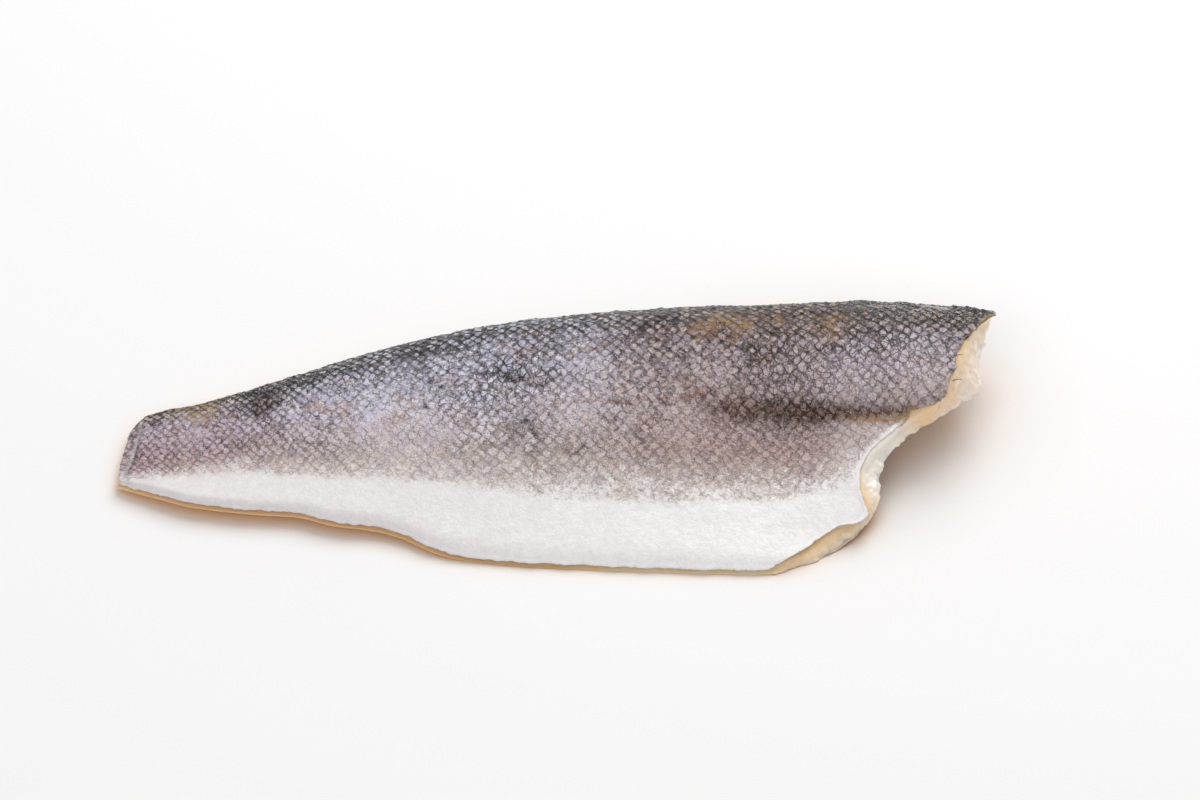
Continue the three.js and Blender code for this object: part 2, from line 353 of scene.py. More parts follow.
def nearest_of(places, points):
    """For each point the number of the nearest place and its distance."""
    tree = KDTree(len(places))
    for number, place in enumerate(places):
        tree.insert(place, number)
    tree.balance()
    found = [tree.find(point) for point in points]
    return np.array([f[1] for f in found]), np.array([f[2] for f in found])


skin = copy_of("skin", "scaled_skin")
mesh = skin.data
top_face = int(np.argmax(read(mesh.polygons, "center")[:, 2]))
select_faces(skin, np.arange(len(mesh.polygons)) == top_face)
bpy.ops.mesh.faces_select_linked_flat(sharpness=SHARP)
skin.vertex_groups.new(name="outer sheet")
bpy.ops.object.vertex_group_assign()
bpy.ops.uv.unwrap(method="ANGLE_BASED", margin=0)
bpy.ops.object.mode_set(mode="OBJECT")

bpy.ops.object.modifier_add(type="SUBSURF")
bpy.context.object.modifiers[-1].levels = 1
bpy.context.object.modifiers[-1].render_levels = 1
bpy.ops.object.modifier_apply(modifier=bpy.context.object.modifiers[-1].name)


def outer_weights(piece):
    """How far each vertex belongs to the outer sheet, from 0 to 1."""
    return np.array([vertex.groups[0].weight if vertex.groups else 0.0 for vertex in piece.data.vertices])


def faces_within(piece, chosen):
    """Marks the faces that have all their corners among the chosen vertices."""
    corners = read(piece.data.loops, "vertex_index", 1).astype(int)
    starts = read(piece.data.polygons, "loop_start", 1).astype(int)
    return np.logical_and.reduceat(chosen[corners], starts)


select_faces(skin, faces_within(skin, outer_weights(skin) > 0.99))
bpy.ops.mesh.subdivide(number_cuts=SKIN_CUTS, smoothness=1.0)
bpy.ops.object.mode_set(mode="OBJECT")

outer = outer_weights(skin) > 0.99
outer_faces = faces_within(skin, outer)
corners = read(mesh.loops, "vertex_index", 1).astype(int)
points = read(mesh.vertices, "co") / MM
normals = read(mesh.vertices, "normal")

# The flattened sheet is turned and stretched to real size, so that the rows of scales follow it.
flat_corners = read(mesh.uv_layers.active.data, "uv", 2)
face_of_corner = np.repeat(np.arange(len(mesh.polygons)), read(mesh.polygons, "loop_total", 1).astype(int))
on_sheet = outer_faces[face_of_corner]
flat = np.zeros(len(points), complex)
flat[corners[on_sheet]] = flat_corners[on_sheet] @ (1, 1j)
plan = points[:, 0] + 1j * points[:, 1]
sheet_edges = read(mesh.edges, "vertices", 2).astype(int)
sheet_edges = sheet_edges[outer[sheet_edges].all(axis=1)]
flat_length = np.abs(flat[sheet_edges[:, 0]] - flat[sheet_edges[:, 1]]).sum()
real_length = np.linalg.norm(points[sheet_edges[:, 0]] - points[sheet_edges[:, 1]], axis=1).sum()
centred = flat - flat[outer].mean()
turn = np.vdot(centred[outer], plan[outer] - plan[outer].mean())
flat = centred * turn / abs(turn) * (real_length / flat_length) + plan[outer].mean()

ruler = np.linspace(-140, 140, 561)
scales_so_far = np.cumsum(1 / along(SCALE_PITCH, ruler)) * (ruler[1] - ruler[0])
column = np.interp(flat.real, ruler, scales_so_far)
row = (flat.imag - along(MID_LINE, flat.real)) / (ROW_SPACING * along(SCALE_PITCH, flat.real))
lay = np.stack([column, row, np.zeros(len(row))], axis=1)
outer_numbers = np.flatnonzero(outer)
inner_numbers = np.flatnonzero(~outer)
twin, _ = nearest_of(points[outer], points[~outer])
lay[inner_numbers] = lay[outer_numbers[twin]]

# Zones of colour: 0 is the whitest belly, 1/3 the edge of the white, 2/3 the lower edge of the
# dark band and 1 the edge of the back.
x, y = points[:, 0], points[:, 1]
white, dark, back = along(WHITE_EDGE, x), along(DARK_EDGE, x), along(BACK_EDGE, x)
zone = np.where(y < white, 1 + (y - white) / WHITE_DEPTH, 1 + (y - white) / (dark - white))
zone = np.where(y > dark, 2 + (y - dark) / (back - dark), zone)
zone = np.clip(zone, 0, 3) / 3
store(skin, "zone", zone)
lay[:, 2] = along(ROW_DRIFT, zone) * along(DRIFT_ALONG, x)
store(skin, "lay", lay)

for name, patches in (("gold", GOLD_PATCHES), ("wrinkled", WRINKLED), ("bright", BRIGHT)):
    store(skin, name, np.clip(sum(patch(x, y, *values) for values in patches), 0, 1))
# The crease is darkened partly for the brown of the skin in it and partly as painted shade in the fold under
# the loin; two dark patches by the folds on the tail are added to it.
crease = band(points, CREASE_LINE, along(CREASE_WIDTH, x)) * along(CREASE_STRENGTH, x)
for place_x, place_y, size, strength in DARK_PATCHES:
    crease += strength * patch(x, y, place_x, place_y, size)
store(skin, "crease", crease)
spots = sum(patch(x, y, *place, SPOT_SIZE) for place in SPOTS)
store(skin, "spots", np.clip(SPOT_STRENGTH * spots, 0, 1))
pale_marks = sum(strength * band(points, line, half_width) for half_width, strength, line in PALE_LINES)
*place_and_size, strength = PALE_PATCH
pale_marks += strength * patch(x, y, *place_and_size)
store(skin, "pale_marks", pale_marks)
store(skin, "fat_line", band(points, FAT_LINE, FAT_WIDTH) * along(FAT_STRENGTH, x))
store(skin, "lateral", band(points, LATERAL_LINE, LATERAL_WIDTH))
place_x, place_y, half_x, half_y = WORN_PATCH
worn = np.exp(-((x - place_x) / half_x) ** 4 - ((y - place_y) / half_y) ** 4)
store(skin, "worn", worn)

rim = np.zeros(len(points), bool)
rim[np.intersect1d(corners[on_sheet], corners[~on_sheet])] = True
at_head = rim & (x > HEAD_CUT_FROM[0]) & (y > HEAD_CUT_FROM[1]) & (y < back - HEAD_CUT_TO_BACK)
_, from_head_cut = nearest_of(points[at_head], points)
store(skin, "from_head_cut", from_head_cut)
at_back = rim & (y > back - BACK_CUT_DEPTH) & (x > BACK_CUT[0]) & (x < BACK_CUT[1])
_, from_back = nearest_of(points[at_back], points)
store(skin, "from_back", from_back)
store(skin, "pale", np.exp(-(from_head_cut / PALE_DEPTH) ** 2) * along(PALE_ACROSS, y))

lift = sum(height * uneven(points, size, size) for height, size in WAVES) * np.clip(zone * 3, 0.35, 1)
pressed = np.zeros(len(points))
for depth, half_width, line in FOLDS:
    press = band(points, line, half_width)
    lift -= depth * press
    pressed = np.maximum(pressed, press)
store(skin, "pressed", pressed)
_, from_rim = nearest_of(points[rim], points)
lift *= np.clip(from_rim / WAVES_FADE, 0, 1)
lift[~outer] = -INNER_SINK
moved = points + normals * lift[:, None]
for size, amount, fade in RAGGED_RIM:
    loose = np.clip(1 - from_rim / fade, 0, 1) * along(RAGGED_ALONG, x + y)
    push = np.stack([uneven(points, size, seed) for seed in (11, 23)] + [np.zeros(len(points))], axis=1)
    moved += amount * loose[:, None] * push
for place_x, place_y, radius, push in NUDGES:
    moved += patch(x, y, place_x, place_y, radius)[:, None] * push
mesh.vertices.foreach_set("co", (moved * MM).ravel())
relief = along(RELIEF_ACROSS, zone) * (1 - WORN_RELIEF * worn)
relief *= np.clip(from_rim / SCALES_FADE, 0.15, 1)
store(skin, "relief", np.where(outer, relief, 0) * SCALE_RELIEF * MM)


def scale_pattern(tree, lay):
    """Adds the pattern of lapping scales, rounded towards the tail, each on top of the next.

    The lay is a place's column, its row, and how far the rows wander there.
    Gives how far in from the free edge of its scale a place lies, in pitches, how far above the
    middle of the scale, in rows, and three random numbers for each scale.
    """
    drift = add(tree, "ShaderNodeTexNoise", {"Vector": lay, "Scale": 0.55, "Detail": 4.0, "Roughness": 0.65})
    shift = add(tree, "ShaderNodeVectorMath", {0: drift.outputs["Color"], 1: (0.5, 0.5, 0.5)},
                operation="SUBTRACT")
    amount = add(tree, "ShaderNodeSeparateXYZ", {0: lay}).outputs["Z"]
    shift = add(tree, "ShaderNodeVectorMath", {0: shift.outputs[0], "Scale": amount}, operation="SCALE")
    place = add(tree, "ShaderNodeVectorMath", {0: shift.outputs[0], 1: lay}, operation="ADD")
    axes = add(tree, "ShaderNodeSeparateXYZ", {0: place.outputs[0]})
    row_below = calculate(tree, "FLOOR", axes.outputs["Y"])
    above = calculate(tree, "FRACT", axes.outputs["Y"])
    found = []
    for step in (0, 1):
        row = calculate(tree, "ADD", row_below, step)
        side = calculate(tree, "SUBTRACT", above, step)
        square = calculate(tree, "MULTIPLY", side, side)
        arc = calculate(tree, "MULTIPLY_ADD", square, -1 / SCALE_SPREAD ** 2, 1.0)
        reach = calculate(tree, "SQRT", arc)
        edge = calculate(tree, "MULTIPLY_ADD", reach, SCALE_REACH, axes.outputs["X"])
        stagger = calculate(tree, "FLOORED_MODULO", row, 2.0)
        slip = add(tree, "ShaderNodeTexWhiteNoise", {"W": row}, noise_dimensions="1D")
        stagger = calculate(tree, "MULTIPLY_ADD", stagger, -0.5, edge)
        stagger = calculate(tree, "MULTIPLY_ADD", slip.outputs["Value"], -ROW_SHIFT, stagger)
        inward = calculate(tree, "FRACT", stagger)
        number = calculate(tree, "FLOOR", stagger)
        lead = calculate(tree, "SUBTRACT", edge, inward)
        found.append((inward, side, number, row, lead))
    upper_leads = calculate(tree, "GREATER_THAN", found[1][4], found[0][4])
    inward, side, number, row = [
        add(tree, "ShaderNodeMix", {0: upper_leads, 2: low, 3: high}).outputs[0]
        for low, high in list(zip(*found))[:4]
    ]
    address = add(tree, "ShaderNodeCombineXYZ", {0: number, 1: row})
    chance = add(tree, "ShaderNodeTexWhiteNoise", {"Vector": address.outputs[0]}, noise_dimensions="3D")
    return inward, side, chance.outputs["Color"]


def scale_height(tree, lay, inward, side):
    """Height of the scales: each rises towards its free edge, and is a little domed.

    The steps at the free edges come and go, as the thin skin over them is here loose, there tight.
    """
    tight = add(tree, "ShaderNodeTexNoise", {"Vector": lay, "Scale": 0.45, "Detail": 4.0, "Roughness": 0.7})
    step = rescale(tree, tight.outputs["Fac"], 0.38, 0.62)
    edge = rescale(tree, inward, 0, 0.16, 0.0, interpolation_type="SMOOTHSTEP")
    slope = calculate(tree, "SUBTRACT", 1.0, inward)
    lapped = calculate(tree, "MULTIPLY", slope, edge)
    lapped = calculate(tree, "MULTIPLY", lapped, step)
    across = calculate(tree, "MULTIPLY", side, side)
    domed = calculate(tree, "MULTIPLY_ADD", across, -0.4, lapped)
    pitted = add(tree, "ShaderNodeTexNoise", {"Vector": lay, "Scale": 1.9, "Detail": 3.0, "Roughness": 0.6})
    return calculate(tree, "MULTIPLY_ADD", pitted.outputs["Fac"], 1.3, domed)


raised = bpy.data.node_groups.new("raised scales", "GeometryNodeTree")
raised.interface.new_socket("Geometry", in_out="INPUT", socket_type="NodeSocketGeometry")
raised.interface.new_socket("Geometry", in_out="OUTPUT", socket_type="NodeSocketGeometry")
sheet = add(raised, "NodeGroupInput")
lay_read = add(raised, "GeometryNodeInputNamedAttribute", {"Name": "lay"}, data_type="FLOAT_VECTOR")
relief_read = add(raised, "GeometryNodeInputNamedAttribute", {"Name": "relief"}, data_type="FLOAT")
inward, side, _ = scale_pattern(raised, lay_read.outputs["Attribute"])
height = scale_height(raised, lay_read.outputs["Attribute"], inward, side)
amount = calculate(raised, "MULTIPLY", height, relief_read.outputs["Attribute"])
normal = add(raised, "GeometryNodeInputNormal")
offset = add(raised, "ShaderNodeVectorMath", {0: normal.outputs[0], "Scale": amount}, operation="SCALE")
moved = add(raised, "GeometryNodeSetPosition",
            {"Geometry": sheet.outputs[0], "Offset": offset.outputs[0]})
add(raised, "NodeGroupOutput", {0: moved.outputs[0]})
bpy.ops.object.modifier_add(type="NODES")
bpy.context.object.modifiers[-1].node_group = raised
bpy.ops.object.modifier_apply(modifier=bpy.context.object.modifiers[-1].name)
bpy.ops.object.shade_smooth_by_angle(angle=SCALE_SHARP)

# Colours down the side, by zone: the middles of the scales, and the skin between them.
SCALE_COLOURS = [
    (0.34, "DACBC4"), (0.43, "E2D5D7"), (0.53, "E9E5F4"), (0.62, "C8C8DE"), (0.7, "A8AECA"),
    (0.82, "C4D2F2"), (1.0, "6C6E7A"),
]
GROUND_COLOURS = [
    (0.34, "8C7266"), (0.42, "73625C"), (0.5, "7F7070"), (0.58, "63554F"), (0.66, "382D28"),
    (0.75, "19120D"), (1.0, "0E0B09"),
]
BELLY_COLOURS = [(0.35, "E6E4E3"), (0.65, "F4F3F2")]
BELLY_PAINTED_SHADE_COLOUR = "EAE4E4"
LAVENDER_LEAN, GREY_LEAN = "DCDAF2", "F2E4D4"
STROKE_COLOUR = "241E1C"
PAINTED_GLINT_COLOUR = "F2F1F8"
BROWN_COLOUR = "E2CFC5"
BACK_BROWN_COLOUR = "DEC29A"
CREASE_BROWN_AND_SHADE_COLOUR = "8E6E55"
GOLD_COLOUR = "BEA678"
FAT_COLOUR = "B28A56"
ROSE_COLOUR = "F4E4EA"
RUST_COLOUR = "E6C6A8"
LATERAL_RUST_COLOUR = "E6CCBC"
SPOT_COLOUR = "1C1614"
PALE_MARK_COLOUR = "E6DEDC"
BACK_RIM_COLOUR = "D2BC92"
CUT_SKIN_COLOUR = "D2B27A"

# Where the tints lie: a strength at a place in X, times one at a zone. Dusk is the darker skin of the back,
# crisp is where the scales stand out, and the belly's painted shade darkens the end of the belly towards the
# tail.
EVERYWHERE = [(0, 1)]
TINTED = {
    "rose": ([(-119, 1), (-95, 0.9), (-72, 0.35), (-45, 0.12), (0, 0)],
             [(0.3, 0), (0.38, 1), (0.55, 1), (0.66, 0)]),
    "brown": ([(-119, 0.4), (-80, 0.1), (-20, 0.0), (10, 0.45), (25, 0.9), (63, 1.0), (85, 0.6), (121, 0.5)],
              [(0.3, 0), (0.42, 1)]),
    "back_brown": ([(-119, 0.9), (-80, 0.7), (-50, 0.3), (0, 0.2), (40, 0.6), (75, 1.0), (121, 0.9)],
                   [(0.6, 0), (0.74, 1)]),
    "dusk": ([(-100, 0), (-90, 0.9), (-75, 0.9), (-60, 0), (62, 0), (95, 1)], [(0.64, 0), (0.74, 1)]),
    "crisp": ([(-95, 1), (-75, 0), (50, 0), (75, 0.4)], EVERYWHERE),
    "belly_painted_shade": ([(-100, 0.6), (-50, 0.6), (0, 0)], EVERYWHERE),
}
for name, (by_place, by_zone) in TINTED.items():
    store(skin, name, along(by_place, x) * along(by_zone, zone))

# Sizes of the fine patterns in millimetres, with detail and roughness for the noises.
NOISES = {
    "clouds": (19, 3, 0.55), "rust": (8, 4, 0.65), "ragged": (6, 6, 0.7), "breaks": (3.3, 3, 0.6),
    "bends": (2.6, 3, 0.6), "mottle": (2.2, 3, 0.6), "glints": (1.2, 2, 0.6), "grain": (0.7, 3, 0.75),
    "fine": (0.42, 2, 0.6),
}
BEND = 1.6  # how far the small flakes of silver are bent
FLAKE_SIZE = 1.15
FLAKE_STRETCH = (1.0, 0.7, 0.7)
CRACK_SPACING = 1.9
BRIGHT_MIDDLE = 0.36  # the brightest place of a scale, in from its free edge, in pitches
FALL_ALONG, FALL_ACROSS = 4.4, 1.1  # how fast a scale darkens away from there
SKIN_BUMP = 0.65

# Wet perch scales: silver and grey pigment in scales under a clear wet film, so that they glitter
# softly, with a broad sheen on the pigmented skin and almost none on the matt white belly.
wet_scales = new_material("wet perch scales")
tree = wet_scales.node_tree
place = add(tree, "ShaderNodeTexCoord").outputs["Object"]
value_of = {}
for name in (
    "lay", "zone", "crease", "gold", "wrinkled", "bright", "worn", "lateral", "spots", "pale_marks",
    "fat_line", "from_head_cut", "from_back", "pale", "pressed", *TINTED,
):
    socket = "Vector" if name == "lay" else "Fac"
    value_of[name] = add(tree, "ShaderNodeAttribute", attribute_name=name).outputs[socket]
noise_of = {}
for name, (size, detail, roughness) in NOISES.items():
    noise_of[name] = add(tree, "ShaderNodeTexNoise", {
        "Vector": place, "Scale": 1 / (size * MM), "Detail": detail, "Roughness": roughness,
    }).outputs["Color" if name == "bends" else "Fac"]
inward, side, chances = scale_pattern(tree, value_of["lay"])
chance = add(tree, "ShaderNodeSeparateColor", {"Color": chances})

# The zones' edges are ragged: they wander a little.
part = calculate(tree, "SUBTRACT", noise_of["ragged"], 0.5)
level = calculate(tree, "MULTIPLY_ADD", part, 0.16, value_of["zone"])
scale_colour = add(tree, "ShaderNodeValToRGB", {"Fac": level}, stops=SCALE_COLOURS)
ground_colour = add(tree, "ShaderNodeValToRGB", {"Fac": level}, stops=GROUND_COLOURS)

# Small bent flakes of silver under the clear skin, smaller than the scales, each as bright as it
# happens to lie, with thin dark cracks between them.
bent = add(tree, "ShaderNodeVectorMath", {0: noise_of["bends"], "Scale": BEND * MM}, operation="SCALE")
bent = add(tree, "ShaderNodeVectorMath", {0: bent.outputs[0], 1: place}, operation="ADD")
bent = add(tree, "ShaderNodeVectorMath", {0: bent.outputs[0], 1: FLAKE_STRETCH}, operation="MULTIPLY")
flakes = add(tree, "ShaderNodeTexVoronoi", {"Vector": bent.outputs[0], "Scale": 1 / (FLAKE_SIZE * MM)})
flake_chance = add(tree, "ShaderNodeSeparateColor", {"Color": flakes.outputs["Color"]}).outputs["Red"]
cracks = add(tree, "ShaderNodeTexVoronoi", {"Vector": bent.outputs[0], "Scale": 1 / (CRACK_SPACING * MM)},
             feature="DISTANCE_TO_EDGE").outputs["Distance"]

# The middle of each scale is bright, and darkens outwards: partly the scale's own silver, and partly a
# painted reflection of the light in each domed scale. Along the back this makes a clear lattice. Lower down
# it is lost among the flakes.
off_middle = calculate(tree, "SUBTRACT", inward, BRIGHT_MIDDLE)
far = calculate(tree, "MULTIPLY", off_middle, off_middle)
far = calculate(tree, "MULTIPLY", far, FALL_ALONG)
far_side = calculate(tree, "MULTIPLY", side, side)
far = calculate(tree, "MULTIPLY_ADD", far_side, FALL_ACROSS, far)
uneven_edge = calculate(tree, "SUBTRACT", noise_of["mottle"], 0.5)
unclear = rescale(tree, level, 0.5, 0.7, 1.8, 0.8)
far = calculate(tree, "MULTIPLY_ADD", uneven_edge, unclear, far)
blob = rescale(tree, far, 0.1, 0.62, 1.0, 0.0, interpolation_type="SMOOTHSTEP")
shine = rescale(tree, chance.outputs["Green"], 0, 1, 0.2, 1.35)
blob = calculate(tree, "MULTIPLY", blob, shine)
clear = rescale(tree, level, 0.48, 0.76, 0.55, 1.1)
for name, change in (("crisp", 0.35), ("worn", -0.45)):
    clear = calculate(tree, "MULTIPLY_ADD", value_of[name], change, clear)
base = rescale(tree, level, 0.58, 0.75, 0.34, -0.28)
share = calculate(tree, "MULTIPLY_ADD", blob, clear, base)
for part, middle, amount in (
    (flake_chance, 0.45, 0.45), (noise_of["grain"], 0.47, 1.85), (noise_of["clouds"], 0.5, 0.75),
    (value_of["bright"], 0.02, 0.42), (value_of["wrinkled"], 0.0, -0.04), (value_of["worn"], 0.0, 0.06),
    (value_of["dusk"], 0.0, -0.22), (value_of["crisp"], 0.0, -0.12),
):
    part = calculate(tree, "SUBTRACT", part, middle)
    share = calculate(tree, "MULTIPLY_ADD", part, amount, share)
share = add(tree, "ShaderNodeClamp", {"Value": share}).outputs[0]
body = mix(tree, share, ground_colour.outputs[0], scale_colour.outputs[0])
glitter = rescale(tree, noise_of["fine"], 0.3, 0.7, 0.72, 1.28)
body = add(tree, "ShaderNodeVectorMath", {0: body, "Scale": glitter}, operation="SCALE").outputs[0]

# Some scales lean to lavender, some to warm grey.
for name, colour in (("Red", LAVENDER_LEAN), ("Blue", GREY_LEAN)):
    leaning = rescale(tree, chance.outputs[name], 0.5, 1, 0, 0.45)
    body = mix(tree, leaning, body, linear(colour), "MULTIPLY")

# Thin dark strokes along the cracks and the free edges, broken and stronger in some places: partly dark
# pigment, and partly painted shade in the crevices under the free edges and in the folds.
crack = rescale(tree, cracks, 0.02, 0.09, 1.0, 0.0)
edge_line = rescale(tree, inward, 0.0, 0.13, 1.0, 0.0)
stroke = calculate(tree, "MAXIMUM", crack, edge_line)
broken = calculate(tree, "MULTIPLY_ADD", value_of["wrinkled"], 0.3, noise_of["breaks"])
broken = rescale(tree, broken, 0.5, 0.62, 0, 0.9)
stroke = calculate(tree, "MULTIPLY", stroke, broken)
drawn = rescale(tree, level, 0.38, 0.6)
stroke = calculate(tree, "MULTIPLY", stroke, drawn)
# Painted shade: dark strokes in the folds pressed into the skin.
in_folds = calculate(tree, "MULTIPLY", value_of["pressed"], noise_of["glints"])
stroke = calculate(tree, "MULTIPLY_ADD", in_folds, 1.1, stroke, use_clamp=True)
whole = calculate(tree, "MULTIPLY_ADD", value_of["worn"], -0.85, 1.0)
stroke = calculate(tree, "MULTIPLY", stroke, whole)

# Painted highlights: small glints of light painted on the scales as near-white specks, with finer specks on
# the lower side and along the dark back.
painted_glint = rescale(tree, noise_of["glints"], 0.52, 0.61, 0, 1.2)
painted_glint = calculate(tree, "MULTIPLY", painted_glint, share)
painted_glint = calculate(tree, "MULTIPLY", painted_glint, drawn)
painted_spark = rescale(tree, noise_of["grain"], 0.56, 0.66, 0, 0.75)
low = rescale(tree, level, 0.45, 0.55, 0.6, 0.0)
low = calculate(tree, "ADD", low, value_of["dusk"])
painted_spark = calculate(tree, "MULTIPLY", painted_spark, low, use_clamp=True)

# The white of the belly, pearly and a little mottled. The grey starts on it as fine stipple.
pearl = calculate(tree, "ADD", noise_of["mottle"], noise_of["grain"])
pearl = calculate(tree, "MULTIPLY", pearl, 0.5)
belly = add(tree, "ShaderNodeValToRGB", {"Fac": pearl}, stops=BELLY_COLOURS).outputs[0]
# Painted shade: the white of the belly is darkened towards the tail.
belly = mix(tree, value_of["belly_painted_shade"], belly, linear(BELLY_PAINTED_SHADE_COLOUR), "MULTIPLY")
pigment = value_of["zone"]
for part, middle, amount in (
    (noise_of["ragged"], 0.5, 0.12), (noise_of["grain"], 0.5, 0.3), (flake_chance, 0.5, 0.05),
    (value_of["pale"], 0.0, -0.09),
):
    part = calculate(tree, "SUBTRACT", part, middle)
    pigment = calculate(tree, "MULTIPLY_ADD", part, amount, pigment)
pigment = rescale(tree, pigment, 0.28, 0.41, interpolation_type="SMOOTHSTEP")

# Tints over large parts: each a strength, a colour and how it is laid on. Those of the cut edges
# also lie over the white of the belly.
# Painted shade and brown along the crease, stronger on the dark skin between the scales' middles.
crease_brown_and_shade = rescale(tree, share, 0, 1, 1.4, 0.75)
crease_brown_and_shade = calculate(tree, "MULTIPLY", crease_brown_and_shade, value_of["crease"], use_clamp=True)
back_rim = rescale(tree, value_of["from_back"], 0.4, 1.3, 0.85, 0.0)
blotches = {}
for name, noise_name, start, full, where in (
    ("lateral rust", "mottle", 0.4, 0.6, value_of["lateral"]),
    ("rust", "rust", 0.55, 0.7, drawn),
    ("gold", "mottle", 0.37, 0.58, value_of["gold"]),
):
    blotch = rescale(tree, noise_of[noise_name], start, full)
    blotches[name] = calculate(tree, "MULTIPLY", blotch, where)
cut_rim = rescale(tree, value_of["from_head_cut"], 0.1, 0.5, 0.75, 0.0)
bare = calculate(tree, "MULTIPLY_ADD", value_of["pale"], -0.9, 1.0)
cut_rim = calculate(tree, "MULTIPLY", cut_rim, bare, use_clamp=True)
fatty = rescale(tree, noise_of["grain"], 0.42, 0.58, 0.3, 1.1)
fatty = calculate(tree, "MULTIPLY", fatty, value_of["fat_line"], use_clamp=True)
for strength, colour, blend in (
    (painted_glint, PAINTED_GLINT_COLOUR, "MIX"),
    (blotches["gold"], GOLD_COLOUR, "MIX"),
    (stroke, STROKE_COLOUR, "MIX"),
    (value_of["brown"], BROWN_COLOUR, "MULTIPLY"),
    (value_of["back_brown"], BACK_BROWN_COLOUR, "MULTIPLY"),
    (value_of["rose"], ROSE_COLOUR, "MULTIPLY"),
    (blotches["rust"], RUST_COLOUR, "MULTIPLY"),
    (blotches["lateral rust"], LATERAL_RUST_COLOUR, "MULTIPLY"),
    (value_of["spots"], SPOT_COLOUR, "MIX"),
    (value_of["pale_marks"], PALE_MARK_COLOUR, "MIX"),
    (crease_brown_and_shade, CREASE_BROWN_AND_SHADE_COLOUR, "MULTIPLY"),
    (back_rim, BACK_RIM_COLOUR, "MIX"),
    (painted_spark, PAINTED_GLINT_COLOUR, "MIX"),
):
    body = mix(tree, strength, body, linear(colour), blend)
body = mix(tree, pigment, belly, body)
for strength, colour in ((fatty, FAT_COLOUR), (cut_rim, CUT_SKIN_COLOUR)):
    body = mix(tree, strength, body, linear(colour))

relief_height = scale_height(tree, value_of["lay"], inward, side)
for part, amount in ((noise_of["grain"], 1.2), (flake_chance, 0.35), (noise_of["fine"], 0.5)):
    relief_height = calculate(tree, "MULTIPLY_ADD", part, amount, relief_height)
wetness = rescale(tree, pigment, 0, 1, 0.12, 0.5)
bump_strength = rescale(tree, pigment, 0, 1, 0.2, 0.9)
bump = add(tree, "ShaderNodeBump", {"Height": relief_height, "Strength": bump_strength,
                                    "Distance": SKIN_BUMP * MM})
surface = add(tree, "ShaderNodeBsdfPrincipled", {
    "Base Color": body,
    "Roughness": 0.36,
    "IOR": 1.4,
    "Specular IOR Level": 0.4,
    "Coat Weight": wetness,
    "Coat Roughness": 0.09,
    "Normal": bump.outputs[0],
    "Coat Normal": bump.outputs[0],
})
add(tree, "ShaderNodeOutputMaterial", {"Surface": surface.outputs[0]})
skin.data.materials.append(wet_scales)
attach(skin, "root")
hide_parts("skin")


# Flesh. Raw white fish, pale and a little see-through, moist where it is cut. Its form is the
# packed flesh's, made finer, with flakes and a torn edge on the cut at the head end, and the
# bent grooves between its muscle blocks on the underside.
COVERED_DEPTH = 0.5  # flesh nearer to the skin than this lies under it
CUT_FINE_FROM = 62  # from this place in X on, the cut shows and is made finer
CUT_CUTS = 2
CUT_FADE = 3  # the cut gets rougher over this depth from the skin
CUT_FACING = [(-0.7, 0), (-0.4, 1)]  # faces that look down are not part of the cut
TORN_WAVES = [(0.9, 7.0), (0.9, 2.6), (0.45, 1.1)]  # unevenness of the cut: height, size
TORN_ALONG = [(40, 0.35), (80, 1)]
TABS = [(86.5, -16.3, 1.3, 0.9), (87.0, -21.3, 1.0, 0.7), (86.7, -24.6, 1.3, 1.0), (112, 6, 1.6, 0.8)]
GROOVE_SPACING = 6.2  # from one muscle block to the next, along the underside
GROOVE_DEPTH = 0.45
GROOVE_WIDTH = 1.3
GROOVE_WANDER = 1.5
GROOVE_WANDER_SIZE = 14
MIDDLE_WIDTH = 1.5  # the groove along the middle line
MIDDLE_DEPTH = 1.6  # as a share of the other grooves' depth
UNDER_FACING = [(-0.8, 1), (-0.5, 0)]  # faces that look down are the underside
GROOVE_SLANT = 17.0  # how far the grooves lean forward and back on each side of the middle
MIDDLE_LINE = [(-119, -6), (-60, -3), (0, -4), (60, 0), (120, 10)]
HALF_BREADTH = [(-119, 11), (-60, 25), (0, 40), (60, 46), (120, 30)]
# Painted warm shade on the belly side, a tan for the flesh in shade with light coming through it: how much
# at a place in X, across from the middle line, and by how much a face looks up, which counts only towards
# the head end.
SHADE_TAN_ALONG = [(-119, 0.6), (-105, 1), (0, 1), (25, 0.55), (60, 0.4), (80, 0.3), (95, 0)]
SHADE_TAN_ACROSS = [(-6, 1), (0, 0)]
SHADE_TAN_FACING = [(-0.9, 0.3), (-0.6, 1), (-0.3, 1), (0.05, 0.1)]
SHADE_TAN_ANY_FACING = [(0, 1), (30, 0)]
SHADE_TAN_UNDER = [(-0.97, 0), (-0.85, 1)]  # the underside, which looks straight down, has none
# Places on the cut: where the flesh is golden, with size and strength, and where a whitish
# membrane covers it, with size.
GOLDEN_PLACES = [
    (107, 3, 6.5, 1.0), (99, -4.5, 4, 0.9), (104, 9, 5, 0.5), (72, -38, 9, 0.3), (61, -44, 6, 0.5),
]
MEMBRANE_PLACES = [(91, -9, 5), (86.5, -13.5, 5), (84.5, -20, 4.5), (112, 2, 4)]
MEMBRANE_SWELL = 0.9  # it fills the step at the edge of the skin
MEMBRANE_MIDDLE = 0.5  # it is at its thickest this far from the skin
MEMBRANE_WIDTH = 0.9

flesh = copy_of("flesh", "fillet_flesh")
mesh = flesh.data
bpy.ops.object.modifier_add(type="SUBSURF")
bpy.context.object.modifiers[-1].levels = 2
bpy.context.object.modifiers[-1].render_levels = 2
bpy.ops.object.modifier_apply(modifier=bpy.context.object.modifiers[-1].name)


